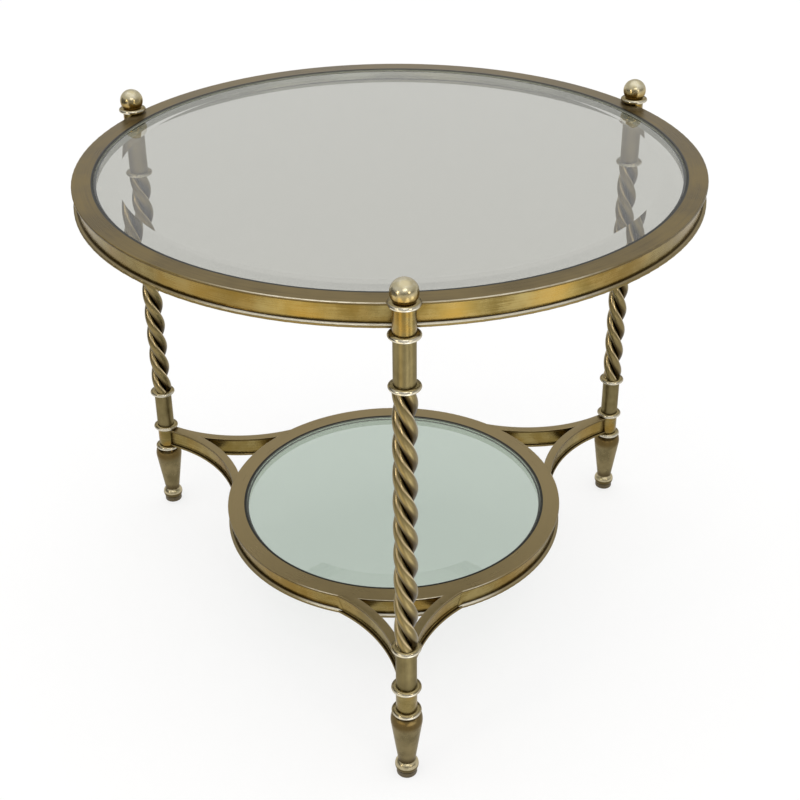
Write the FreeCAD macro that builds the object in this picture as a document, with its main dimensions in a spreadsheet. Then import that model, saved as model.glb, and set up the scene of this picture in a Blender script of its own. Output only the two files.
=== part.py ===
import FreeCAD, Part
import math
import os

import Sketcher

# Two-tier round side table in antique brass and glass, millimetres, +Z up.
# The origin is on the floor, on the table's own axis, and the front leg stands towards -Y.

doc = FreeCAD.newDocument("tiered_side_table")

# Driving dimensions
sheet = doc.addObject("Spreadsheet::Sheet", "Sizes")
driving_sizes = [
    # whole table
    ("top_height", 585.0),           # floor to the top plate's upper face
    ("shelf_height", 122.3),         # floor to the shelf plate's upper face
    ("leg_offset", 6.4),             # each leg's axis, out from the top ring's edge
    ("front_leg_angle", -90.0),
    ("right_leg_angle", 30.0),
    ("left_leg_angle", 150.0),
    ("joint_clearance", 0.1),        # brazed and seated round faces
    ("overrun", 5.0),                # how far a cutting body passes what it cuts
    # section of both rings
    ("ring_depth", 26.5),
    ("plate_thickness", 3.0),
    ("lip_thickness", 3.5),
    ("lip_width", 12.0),
    ("edge_round", 0.9),             # rounded outer edges of plates and lips
    ("band_recess", 4.5),            # outer band's face, back from the plate's edge
    ("band_thickness", 3.0),
    ("inner_wall_thickness", 3.0),
    ("inner_depth", 16.5),           # plate's face to the inner band's underside
    ("ledge_width", 4.0),
    ("top_ring_radius", 355.6),
    ("top_plate_width", 23.0),
    ("shelf_plate_width", 22.8),
    # panes and the strips that they sit in
    ("glass_thickness", 6.0),
    ("glass_sink", 0.4),             # pane's face below the plate's face
    ("bevel_width", 25.0),
    ("bevel_depth", 1.4),
    ("pane_clearance", 0.3),
    ("strip_lip_thickness", 1.0),
    ("strip_floor_thickness", 1.2),
    ("strip_drop", 0.3),             # top of the strip below the plate's face
    # collars, blocks, tubes and tie rods of a leg
    ("collar_radius", 16.4),
    ("collar_thickness", 4.2),
    ("collar_crown", 1.7),           # bulge of the rounded edge
    ("block_radius", 11.6),
    ("block_rise", 1.1),             # block above the plate's face
    ("block_drop", 0.8),             # block below the lip's face
    ("tube_radius", 11.4),
    ("tube_wall", 2.0),
    ("tube_length", 50.9),
    ("rod_radius", 3.0),
    ("rod_end_gap", 0.3),
    ("spigot_length", 14.0),
    # ball finial
    ("ball_radius", 13.9),
    ("ball_seat_drop", 9.2),         # seat below the ball's centre
    ("ball_hole_depth", 11.0),
    # rope twist of three bars
    ("twist_radius", 12.7),
    ("twist_lead", 96.8),            # rise of one bar in a full turn
    ("twist_phase", -2.5),           # first bar's angle at the twist's lower end
    ("strand_share", 0.82),          # bar's radius as a share of its path's radius, just short of touching
    # turned foot and its glide
    ("foot_top_radius", 15.0),
    ("shoulder_radius", 17.2),
    ("shoulder_drop", 16.0),
    ("shoulder_arc_radius", 24.0),
    ("ankle_radius", 9.6),
    ("bead_height", 13.5),
    ("bead_arc_radius", 9.4),
    ("foot_base_radius", 11.0),
    ("foot_hole_depth", 16.0),
    ("glide_radius", 11.5),
    ("glide_height", 7.0),
    ("glide_round", 2.0),
    ("stem_radius", 3.5),
    ("stem_length", 10.0),
    # shelf arms
    ("arm_reach", 147.3),            # from a leg's axis to the nearest point of the shelf ring's edge
    ("arm_width", 11.2),
    ("arm_recess", 3.6),             # web's face, back from the strip's edge
    ("arm_leg_offset", 6.8),         # outer edge from the leg's centre plane, beside the leg
    ("arm_straight", 21.2),          # straight run from the leg's axis to where the bend starts
    ("arm_spread_share", 0.4961),    # landing's distance from that plane, as a share of the reach
]
for row, (alias, number) in enumerate(driving_sizes, start=1):
    sheet.set(f"A{row}", alias)
    sheet.set(f"B{row}", str(number))
    sheet.setAlias(f"B{row}", alias)
doc.recompute()

# Heights and radii that follow from the driving dimensions, as expressions
strand_count = 3
leg_circle = "(Sizes.top_ring_radius + Sizes.leg_offset)"
shelf_ring_radius = f"({leg_circle} - Sizes.arm_reach)"
rod_hole_radius = "(Sizes.rod_radius + Sizes.joint_clearance)"
top_block_top = "(Sizes.top_height + Sizes.block_rise)"
top_block_base = "(Sizes.top_height - Sizes.ring_depth - Sizes.block_drop)"
shelf_block_top = "(Sizes.shelf_height + Sizes.block_rise)"
shelf_block_base = "(Sizes.shelf_height - Sizes.ring_depth - Sizes.block_drop)"
block_length = "(Sizes.ring_depth + Sizes.block_rise + Sizes.block_drop)"
finial_seat = f"({top_block_top} + Sizes.collar_thickness)"
neck_base = f"({top_block_base} - Sizes.collar_thickness - Sizes.tube_length)"
twist_top = f"({neck_base} - Sizes.collar_thickness)"
lower_tube_base = f"({shelf_block_top} + Sizes.collar_thickness)"
lower_tube_top = f"({lower_tube_base} + Sizes.tube_length)"
twist_base = f"({lower_tube_top} + Sizes.collar_thickness)"
twist_length = f"({twist_top} - {twist_base})"
foot_top = f"({shelf_block_base} - Sizes.collar_thickness)"
foot_length = f"({foot_top} - Sizes.glide_height)"
collar_face_radius = "(Sizes.collar_radius - Sizes.collar_crown)"
collar_edge_radius = "((Sizes.collar_thickness / 2)^2 + Sizes.collar_crown^2) / (2 * Sizes.collar_crown)"


def value(expression):
    return float(sheet.evalExpression(expression))


def origin_plane(body, role):
    return next(part for part in body.Origin.OriginFeatures if part.Role == role)


def arc_between(start, end, radius):
    # Arc of under a half turn; a positive radius bulges to the right of the way from start to end.
    chord = end.sub(start)
    side = FreeCAD.Vector(-chord.y, chord.x, 0).normalize()
    offset = math.sqrt(max(radius ** 2 - chord.Length ** 2 / 4, 0))
    centre = start.add(chord.multiply(0.5)).add(side.multiply(math.copysign(offset, radius)))
    circle = Part.Circle(centre, FreeCAD.Vector(0, 0, 1), abs(radius))
    angles = [math.atan2(point.y - centre.y, point.x - centre.x) for point in (start, end)]
    if radius < 0:
        angles.reverse()
    return Part.ArcOfCircle(circle, angles[0], angles[1])


def bind(sketch, constraint, expression):
    index = sketch.addConstraint(constraint)
    sketch.setExpression(f"Constraints[{index}]", expression)


def pin_point(sketch, edge, end, across, up):
    # A corner on the axis or the base line lies on it; any other one has its two distances bound.
    for expression, kind, axis in ((across, "DistanceX", -2), (up, "DistanceY", -1)):
        if expression == "0":
            sketch.addConstraint(Sketcher.Constraint("PointOnObject", edge, end, axis))
        else:
            distance = Sketcher.Constraint(kind, -1, 1, edge, end, value(expression))
            bind(sketch, distance, expression)


def outline_sketch(body, name, outline):
    # Closed outline of (radius, height) expressions, anticlockwise in the radius-height plane;
    # a third entry is the radius of an arc that leads on to the next corner.
    sketch = body.newObject("Sketcher::SketchObject", name)
    sketch.AttachmentSupport = [(origin_plane(body, "XZ_Plane"), "")]
    sketch.MapMode = "FlatFace"
    corners = [FreeCAD.Vector(value(corner[0]), value(corner[1]), 0) for corner in outline]
    edges = []
    for index, corner in enumerate(outline):
        start, end = corners[index], corners[(index + 1) % len(corners)]
        if len(corner) == 3:
            bulge = value(corner[2])
            edge = sketch.addGeometry(arc_between(start, end, bulge), False)
            ends = (1, 2) if bulge > 0 else (2, 1)
        else:
            edge = sketch.addGeometry(Part.LineSegment(start, end), False)
            ends = (1, 2)
        edges.append((edge, *ends))
    for index, corner in enumerate(outline):
        edge, first, last = edges[index]
        following, following_first, _ = edges[(index + 1) % len(edges)]
        sketch.addConstraint(Sketcher.Constraint("Coincident", edge, last, following, following_first))
        pin_point(sketch, edge, first, corner[0], corner[1])
        if len(corner) == 3:
            bind(sketch, Sketcher.Constraint("Radius", edge, abs(value(corner[2]))), f"abs({corner[2]})")
    return sketch


def turned(name, outline):
    # A body turned about its own Z axis.
    body = doc.addObject("PartDesign::Body", name)
    sketch = outline_sketch(body, f"{name}_outline", outline)
    turning = body.newObject("PartDesign::Revolution", f"{name}_turning")
    turning.Profile = sketch
    turning.ReferenceAxis = (sketch, ["V_Axis"])
    return body


def cylinder(name, radius, height, base="0"):
    rod = doc.addObject("Part::Cylinder", name)
    rod.setExpression("Radius", radius)
    rod.setExpression("Height", height)
    rod.setExpression("Placement.Base.z", base)
    return rod


def cut(name, base, tool):
    result = doc.addObject("Part::Cut", name)
    result.Base = base
    result.Tool = tool
    return result


def group(name, pieces, placement=None):
    result = doc.addObject("Part::Compound", name)
    result.Links = pieces
    if placement:
        result.setExpression("Placement", placement)
    return result


def lifted(name, piece, height):
    return group(name, [piece], f"placement(vector(0; 0; {height}); rotation(vector(0; 0; 1); 0))")


def rounded_ring(name, inner, outer, base, top):
    # Flat ring whose two outer edges are rounded.
    turn = "Sizes.edge_round"
    return turned(name, [
        (inner, base),
        (f"{outer} - {turn}", base, turn),
        (outer, f"{base} + {turn}"),
        (outer, f"{top} - {turn}", turn),
        (f"{outer} - {turn}", top),
        (inner, top),
    ])


nodes = {}


def keep(piece, label):
    piece.Label = label
    nodes[label] = piece


# Clearance bodies round the legs' blocks, which the top ring's pieces are notched to
leg_angles = {side: f"Sizes.{side}_leg_angle" for side in ("front", "right", "left")}


def on_leg(side, height="0"):
    angle = leg_angles[side]
    across = f"{leg_circle} * cos({angle})"
    along = f"{leg_circle} * sin({angle})"
    return f"placement(vector({across}; {along}; {height}); rotation(vector(0; 0; 1); {angle}))"


block_room = cylinder("block_room", "Sizes.block_radius + Sizes.joint_clearance",
                      f"{top_block_top} + Sizes.overrun")
leg_rooms = group("leg_rooms", [group(f"{side}_room", [block_room], on_leg(side)) for side in leg_angles])


# A ring and its pane: plate, outer band, lip, inner band with its ledge, soft strip and glass
def build_ring(tier, outer, height):
    plate_inner = f"({outer} - Sizes.{tier}_plate_width)"
    plate_base = f"({height} - Sizes.plate_thickness)"
    ring_base = f"({height} - Sizes.ring_depth)"
    lip_top = f"({ring_base} + Sizes.lip_thickness)"
    inner_base = f"({height} - Sizes.inner_depth)"
    ledge_inner = f"({plate_inner} - Sizes.ledge_width)"
    wall_outer = f"({plate_inner} + Sizes.inner_wall_thickness)"
    glass_top = f"({height} - Sizes.glass_sink)"
    glass_base = f"({glass_top} - Sizes.glass_thickness)"
    ledge_top = f"({glass_base} - Sizes.strip_floor_thickness)"
    strip_outer = f"({plate_inner} - Sizes.pane_clearance)"
    strip_lip_inner = f"({strip_outer} - Sizes.strip_lip_thickness)"
    glass_radius = f"({strip_lip_inner} - Sizes.pane_clearance)"
    band_outer = f"({outer} - Sizes.band_recess)"

    plate = rounded_ring(f"{tier}_plate_ring", plate_inner, outer, plate_base, height)
    lip = rounded_ring(f"{tier}_lip_ring", f"{outer} - Sizes.lip_width", outer, ring_base, lip_top)
    band = turned(f"{tier}_band_ring", [
        (f"{band_outer} - Sizes.band_thickness", lip_top),
        (band_outer, lip_top),
        (band_outer, plate_base),
        (f"{band_outer} - Sizes.band_thickness", plate_base),
    ])
    inner_band = turned(f"{tier}_inner_ring", [
        (ledge_inner, inner_base),
        (wall_outer, inner_base),
        (wall_outer, plate_base),
        (plate_inner, plate_base),
        (plate_inner, ledge_top),
        (ledge_inner, ledge_top),
    ])
    strip = turned(f"{tier}_strip_ring", [
        (ledge_inner, ledge_top),
        (strip_outer, ledge_top),
        (strip_outer, f"{height} - Sizes.strip_drop"),
        (strip_lip_inner, f"{height} - Sizes.strip_drop"),
        (strip_lip_inner, glass_base),
        (ledge_inner, glass_base),
    ])
    glass = turned(f"{tier}_pane", [
        ("0", glass_base),
        (glass_radius, glass_base),
        (glass_radius, f"{glass_top} - Sizes.bevel_depth"),
        (f"{glass_radius} - Sizes.bevel_width", glass_top),
        ("0", glass_top),
    ])
    return {"plate": plate, "outer_band": band, "lip": lip, "inner_band": inner_band,
            "glass_strip": strip, "glass": glass}


for piece, ring in build_ring("top", "Sizes.top_ring_radius", "Sizes.top_height").items():
    if piece in ("plate", "outer_band", "lip"):
        ring = cut(f"top_{piece}_notched", ring, leg_rooms)
    keep(ring, f"top_{piece}")
for piece, ring in build_ring("shelf", shelf_ring_radius, "Sizes.shelf_height").items():
    keep(ring, f"shelf_{piece}")


# Turned pieces of a leg, each about its own axis with its seat at height zero
collar_corners = [
    (collar_face_radius, "0", collar_edge_radius),
    (collar_face_radius, "Sizes.collar_thickness"),
]
collar = turned("collar", [
    (rod_hole_radius, "0"), *collar_corners, (rod_hole_radius, "Sizes.collar_thickness"),
])
block = turned("block", [
    (rod_hole_radius, "0"),
    ("Sizes.block_radius", "0"),
    ("Sizes.block_radius", block_length),
    (rod_hole_radius, block_length),
])
tube = turned("tube", [
    ("Sizes.tube_radius - Sizes.tube_wall", "0"),
    ("Sizes.tube_radius", "0"),
    ("Sizes.tube_radius", "Sizes.tube_length"),
    ("Sizes.tube_radius - Sizes.tube_wall", "Sizes.tube_length"),
])
ball = turned("ball", [
    (rod_hole_radius, "0"),
    ("sqrt(Sizes.ball_radius^2 - Sizes.ball_seat_drop^2)", "0", "Sizes.ball_radius"),
    ("0", "Sizes.ball_seat_drop + Sizes.ball_radius"),
    ("0", "Sizes.ball_hole_depth"),
    (rod_hole_radius, "Sizes.ball_hole_depth"),
])
# End piece of the twist: a collar with a spigot that centres the tube and takes the tie rod
spigot_radius = "Sizes.tube_radius - Sizes.tube_wall - Sizes.joint_clearance"
spigot_end = "Sizes.collar_thickness + Sizes.spigot_length"
twist_end = turned("twist_end", [
    ("0", "0"), *collar_corners,
    (spigot_radius, "Sizes.collar_thickness"),
    (spigot_radius, spigot_end),
    (rod_hole_radius, spigot_end),
    (rod_hole_radius, "Sizes.collar_thickness"),
    ("0", "Sizes.collar_thickness"),
])
# Foot: bead at the bottom, straight taper, swelling shoulder, with a hole for the rod and one for the stem
stem_hole_radius = "Sizes.stem_radius + Sizes.joint_clearance"
stem_hole_depth = "Sizes.stem_length + Sizes.rod_end_gap"
foot_hole_base = f"{foot_length} - Sizes.foot_hole_depth"
foot = turned("foot", [
    (stem_hole_radius, "0"),
    ("Sizes.foot_base_radius", "0", "Sizes.bead_arc_radius"),
    ("Sizes.ankle_radius", "Sizes.bead_height"),
    ("Sizes.shoulder_radius", f"{foot_length} - Sizes.shoulder_drop", "Sizes.shoulder_arc_radius"),
    ("Sizes.foot_top_radius", foot_length),
    (rod_hole_radius, foot_length),
    (rod_hole_radius, foot_hole_base),
    ("0", foot_hole_base),
    ("0", stem_hole_depth),
    (stem_hole_radius, stem_hole_depth),
])
glide_top = "Sizes.glide_height + Sizes.stem_length"
glide = turned("glide", [
    ("0", "0"),
    ("Sizes.glide_radius - Sizes.glide_round", "0", "Sizes.glide_round"),
    ("Sizes.glide_radius", "Sizes.glide_round"),
    ("Sizes.glide_radius", "Sizes.glide_height"),
    ("Sizes.stem_radius", "Sizes.glide_height"),
    ("Sizes.stem_radius", glide_top),
    ("0", glide_top),
])

# Tie rods
upper_rod_base = f"({neck_base} + Sizes.rod_end_gap)"
upper_rod_top = f"({finial_seat} + Sizes.ball_hole_depth - Sizes.rod_end_gap)"
upper_rod = cylinder("upper_rod", "Sizes.rod_radius", f"{upper_rod_top} - {upper_rod_base}", upper_rod_base)
lower_rod_base = f"({foot_top} - Sizes.foot_hole_depth + Sizes.rod_end_gap)"
lower_rod_top = f"({lower_tube_top} - Sizes.rod_end_gap)"
lower_rod = cylinder("lower_rod", "Sizes.rod_radius", f"{lower_rod_top} - {lower_rod_base}", lower_rod_base)

# Rope twist: round bars side by side on a left-handed helix, trimmed level at both ends.
path_radius = "(Sizes.twist_radius / (1 + Sizes.strand_share))"
strand_radius = f"({path_radius} * Sizes.strand_share)"
lean = f"atan(2 * pi * {path_radius} / Sizes.twist_lead)"
helix_rise = f"({twist_length} + 2 * Sizes.overrun)"
helix = doc.addObject("Part::Helix", "strand_path")
helix.LocalCoord = "Left-handed"
helix.Style = "New style"
helix.setExpression("Pitch", "Sizes.twist_lead")
helix.setExpression("Height", helix_rise)
helix.setExpression("Radius", path_radius)
strand_section = doc.addObject("Part::Circle", "strand_section")
strand_section.setExpression("Radius", strand_radius)
strand_section.setExpression(
    "Placement", f"placement(vector({path_radius}; 0; 0); rotation(vector(1; 0; 0); {lean}))")
strand_bar = doc.addObject("Part::Sweep", "strand_bar")
strand_bar.Sections = [strand_section]
strand_bar.Spine = (helix, [])
strand_bar.Solid = True
strand_bar.Frenet = True
twist_room = cylinder("twist_room", "Sizes.twist_radius + Sizes.overrun", twist_length, "Sizes.overrun")
strand = doc.addObject("Part::Common", "strand")
strand.Base = strand_bar
strand.Tool = twist_room
base_turn = "Sizes.twist_phase + 360 * Sizes.overrun / Sizes.twist_lead"
strands = [
    group(f"strand_{count}", [strand],
          "placement(vector(0; 0; -Sizes.overrun); "
          f"rotation(vector(0; 0; 1); {base_turn} + {count} * 360 / {strand_count}))")
    for count in range(strand_count)
]

# Shelf arm, in plan in the leg's own frame, X outwards along the leg's centre plane.
# It leaves the leg straight, beside that plane, then bends away in one arc that lands on the shelf ring
# and runs on to the line from the arc's centre to the table's axis before it is trimmed to the ring.
land_y = "(Sizes.arm_reach * Sizes.arm_spread_share)"
land_x = f"(sqrt({shelf_ring_radius}^2 - {land_y}^2) - {leg_circle})"
bend_run = f"(-{land_x} - Sizes.arm_straight)"
bend_rise = f"({land_y} - Sizes.arm_leg_offset)"
bend_radius = f"(({bend_run}^2 + {bend_rise}^2) / (2 * {bend_rise}))"
bend_turn = f"atan2({leg_circle} - Sizes.arm_straight; Sizes.arm_leg_offset + {bend_radius})"
strip_far = f"({bend_radius} + Sizes.arm_width)"
web_near = f"({bend_radius} + Sizes.arm_recess)"
web_far = f"({strip_far} - Sizes.arm_recess)"
strip_base = "(Sizes.ring_depth - Sizes.plate_thickness)"
arm_bar = doc.addObject("PartDesign::Body", "arm_bar")
arm_section = outline_sketch(arm_bar, "arm_section", [
    (bend_radius, "0"),
    (strip_far, "0"),
    (strip_far, "Sizes.lip_thickness"),
    (web_far, "Sizes.lip_thickness"),
    (web_far, strip_base),
    (strip_far, strip_base),
    (strip_far, "Sizes.ring_depth"),
    (bend_radius, "Sizes.ring_depth"),
    (bend_radius, strip_base),
    (web_near, strip_base),
    (web_near, "Sizes.lip_thickness"),
    (bend_radius, "Sizes.lip_thickness"),
])
arm_bend = arm_bar.newObject("PartDesign::Revolution", "arm_bend")
arm_bend.Profile = arm_section
arm_bend.ReferenceAxis = (arm_section, ["V_Axis"])
arm_bend.Reversed = True
arm_bend.setExpression("Angle", bend_turn)
arm_run = arm_bar.newObject("PartDesign::Pad", "arm_run")
arm_run.Profile = arm_section
arm_run.Reversed = True
arm_run.setExpression("Length", "Sizes.arm_straight")
arm_bar.setExpression(
    "Placement",
    f"placement(vector(-Sizes.arm_straight; Sizes.arm_leg_offset + {bend_radius}; "
    "Sizes.shelf_height - Sizes.ring_depth); rotation(vector(0; 0; 1); -90))")

# What an arm is trimmed by: the leg's block, the shelf ring's outer faces and the leg's centre plane
ring_base = "(Sizes.shelf_height - Sizes.ring_depth)"
band_radius = f"({shelf_ring_radius} - Sizes.band_recess)"
ring_room = turned("ring_room", [
    ("0", f"{ring_base} - Sizes.overrun"),
    (shelf_ring_radius, f"{ring_base} - Sizes.overrun"),
    (shelf_ring_radius, f"{ring_base} + Sizes.lip_thickness"),
    (band_radius, f"{ring_base} + Sizes.lip_thickness"),
    (band_radius, "Sizes.shelf_height - Sizes.plate_thickness"),
    (shelf_ring_radius, "Sizes.shelf_height - Sizes.plate_thickness"),
    (shelf_ring_radius, "Sizes.shelf_height + Sizes.overrun"),
    ("0", "Sizes.shelf_height + Sizes.overrun"),
])
ring_room.setExpression("Placement.Base.x", f"-{leg_circle}")
far_half = doc.addObject("Part::Box", "far_half")
far_half.setExpression("Length", f"2 * {leg_circle}")
far_half.setExpression("Width", leg_circle)
far_half.setExpression("Height", "Sizes.top_height")
far_half.setExpression("Placement.Base.x", f"-{leg_circle}")
far_half.setExpression("Placement.Base.y", f"-{leg_circle}")
arm_rooms = doc.addObject("Part::MultiFuse", "arm_rooms")
arm_rooms.Shapes = [block_room, ring_room, far_half]
arm_right = cut("arm_right", arm_bar, arm_rooms)
arm_left = doc.addObject("Part::Mirroring", "arm_left")
arm_left.Source = arm_right
arm_left.Normal = FreeCAD.Vector(0, 1, 0)

# The three legs, each piece at its height on the leg's axis
flipped = "rotation(vector(1; 0; 0); 180)"
leg_pieces = {
    "ball_finial": [lifted("ball_place", ball, finial_seat)],
    "top_block_collars": [
        lifted("finial_collar_place", collar, top_block_top),
        lifted("neck_collar_place", collar, f"{top_block_base} - Sizes.collar_thickness"),
    ],
    "top_block": [lifted("top_block_place", block, top_block_base)],
    "neck_tube": [lifted("neck_tube_place", tube, neck_base)],
    "twist_head": [lifted("twist_head_place", twist_end, twist_top)],
    "twist": [lifted(f"strand_{count}_place", bar, twist_base) for count, bar in enumerate(strands)],
    "twist_foot": [group("twist_foot_place", [twist_end], f"placement(vector(0; 0; {twist_base}); {flipped})")],
    "lower_tube": [lifted("lower_tube_place", tube, lower_tube_base)],
    "shelf_block_collars": [
        lifted("upper_collar_place", collar, shelf_block_top),
        lifted("lower_collar_place", collar, f"{shelf_block_base} - Sizes.collar_thickness"),
    ],
    "shelf_block": [lifted("shelf_block_place", block, shelf_block_base)],
    "foot": [lifted("foot_place", foot, "Sizes.glide_height")],
    "glide": [glide],
    "upper_tie_rod": [upper_rod],
    "lower_tie_rod": [lower_rod],
    "arm_right": [arm_right],
    "arm_left": [arm_left],
}
for side in leg_angles:
    for piece, shapes in leg_pieces.items():
        keep(group(f"{side}_{piece}_on_leg", shapes, on_leg(side)), f"{side}_{piece}")

doc.recompute()

# Every object has to be sound before anything is written
for item in doc.Objects:
    if "Invalid" in item.State or "Error" in item.State:
        raise RuntimeError(f"{item.Label} did not build: {item.State}")
for label, piece in nodes.items():
    shape = piece.Shape
    if shape.isNull() or not shape.isValid() or not shape.Solids:
        raise RuntimeError(f"{label} has no sound solid")

os.makedirs("parts", exist_ok=True)
for label, piece in nodes.items():
    piece.Shape.exportStep(f"parts/{label}.step")
print(f"{len(nodes)} pieces written")
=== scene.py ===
import bpy
import numpy as np
from mathutils import Matrix, Vector


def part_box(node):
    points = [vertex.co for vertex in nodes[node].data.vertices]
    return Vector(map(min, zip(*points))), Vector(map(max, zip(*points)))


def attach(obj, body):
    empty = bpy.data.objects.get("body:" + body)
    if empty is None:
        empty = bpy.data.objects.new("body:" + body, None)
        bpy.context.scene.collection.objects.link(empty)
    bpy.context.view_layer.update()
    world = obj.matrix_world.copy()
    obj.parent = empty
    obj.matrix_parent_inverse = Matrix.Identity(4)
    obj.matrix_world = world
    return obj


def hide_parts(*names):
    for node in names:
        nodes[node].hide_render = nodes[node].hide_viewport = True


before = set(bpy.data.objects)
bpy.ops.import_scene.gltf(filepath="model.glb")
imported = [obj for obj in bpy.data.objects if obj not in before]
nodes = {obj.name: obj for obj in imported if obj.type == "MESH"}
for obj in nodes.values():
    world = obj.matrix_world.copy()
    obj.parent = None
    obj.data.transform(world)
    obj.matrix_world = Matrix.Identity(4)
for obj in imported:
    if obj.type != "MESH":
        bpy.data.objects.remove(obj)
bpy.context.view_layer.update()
tiers = ("top", "shelf")
legAngles = {"front": -90.0, "right": 30.0, "left": 150.0}

# sizes that the finishes and the arms share, read off the solids
ballLow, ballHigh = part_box("front_ball_finial")
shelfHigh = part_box("shelf_plate")[1]
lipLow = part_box("shelf_lip")[0]
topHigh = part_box("top_plate")[1]
paneRadii = {tier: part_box(f"{tier}_glass")[1].x for tier in tiers}
footLow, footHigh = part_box("front_foot")
legCircle = -(ballLow.y + ballHigh.y) / 2
shelfRadius = shelfHigh.x
shelfBase = lipLow.z
tierGap = topHigh.z - shelfHigh.z
bandRecess = 0.0045  # how far the gold band stands back from the ring's rim
print(f"frame loaded: {len(nodes)} nodes, leg circle {legCircle:.4f} m")


# camera at the photo's viewing angle: focal length and centre in pixels of an 800 by 800 image
cameraView = {
    "place": (-0.0471, -1.4739, 1.1612),
    "turn": -2.250,
    "down": 29.629,
    "roll": -0.417,
    "focalPixels": 1378.4,
    "centrePixels": (400.94, 360.31),
    "imagePixels": 800,
    "sensorWidth": 36.0,
}


def addCamera(view):
    data = bpy.data.cameras.new("viewCamera")
    camera = bpy.data.objects.new("viewCamera", data)
    bpy.context.scene.collection.objects.link(camera)
    data.sensor_width = view["sensorWidth"]
    data.lens = view["focalPixels"] / view["imagePixels"] * view["sensorWidth"]
    data.shift_x = (view["imagePixels"] / 2 - view["centrePixels"][0]) / view["imagePixels"]
    data.shift_y = (view["centrePixels"][1] - view["imagePixels"] / 2) / view["imagePixels"]
    turn = Matrix.Rotation(np.radians(view["turn"]), 4, "Z")
    tilt = Matrix.Rotation(np.radians(90 - view["down"]), 4, "X")
    roll = Matrix.Rotation(np.radians(view["roll"]), 4, "Z")
    camera.matrix_world = Matrix.Translation(view["place"]) @ turn @ tilt @ roll
    bpy.context.scene.camera = camera


addCamera(cameraView)
print("camera placed")


def toLinear(rgb):
    # sRGB colour of 0 to 255, with a full alpha
    share = np.array(rgb) / 255.0
    linear = np.where(share <= 0.04045, share / 12.92, ((share + 0.055) / 1.055) ** 2.4)
    return (*(float(part) for part in linear), 1.0)


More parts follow.
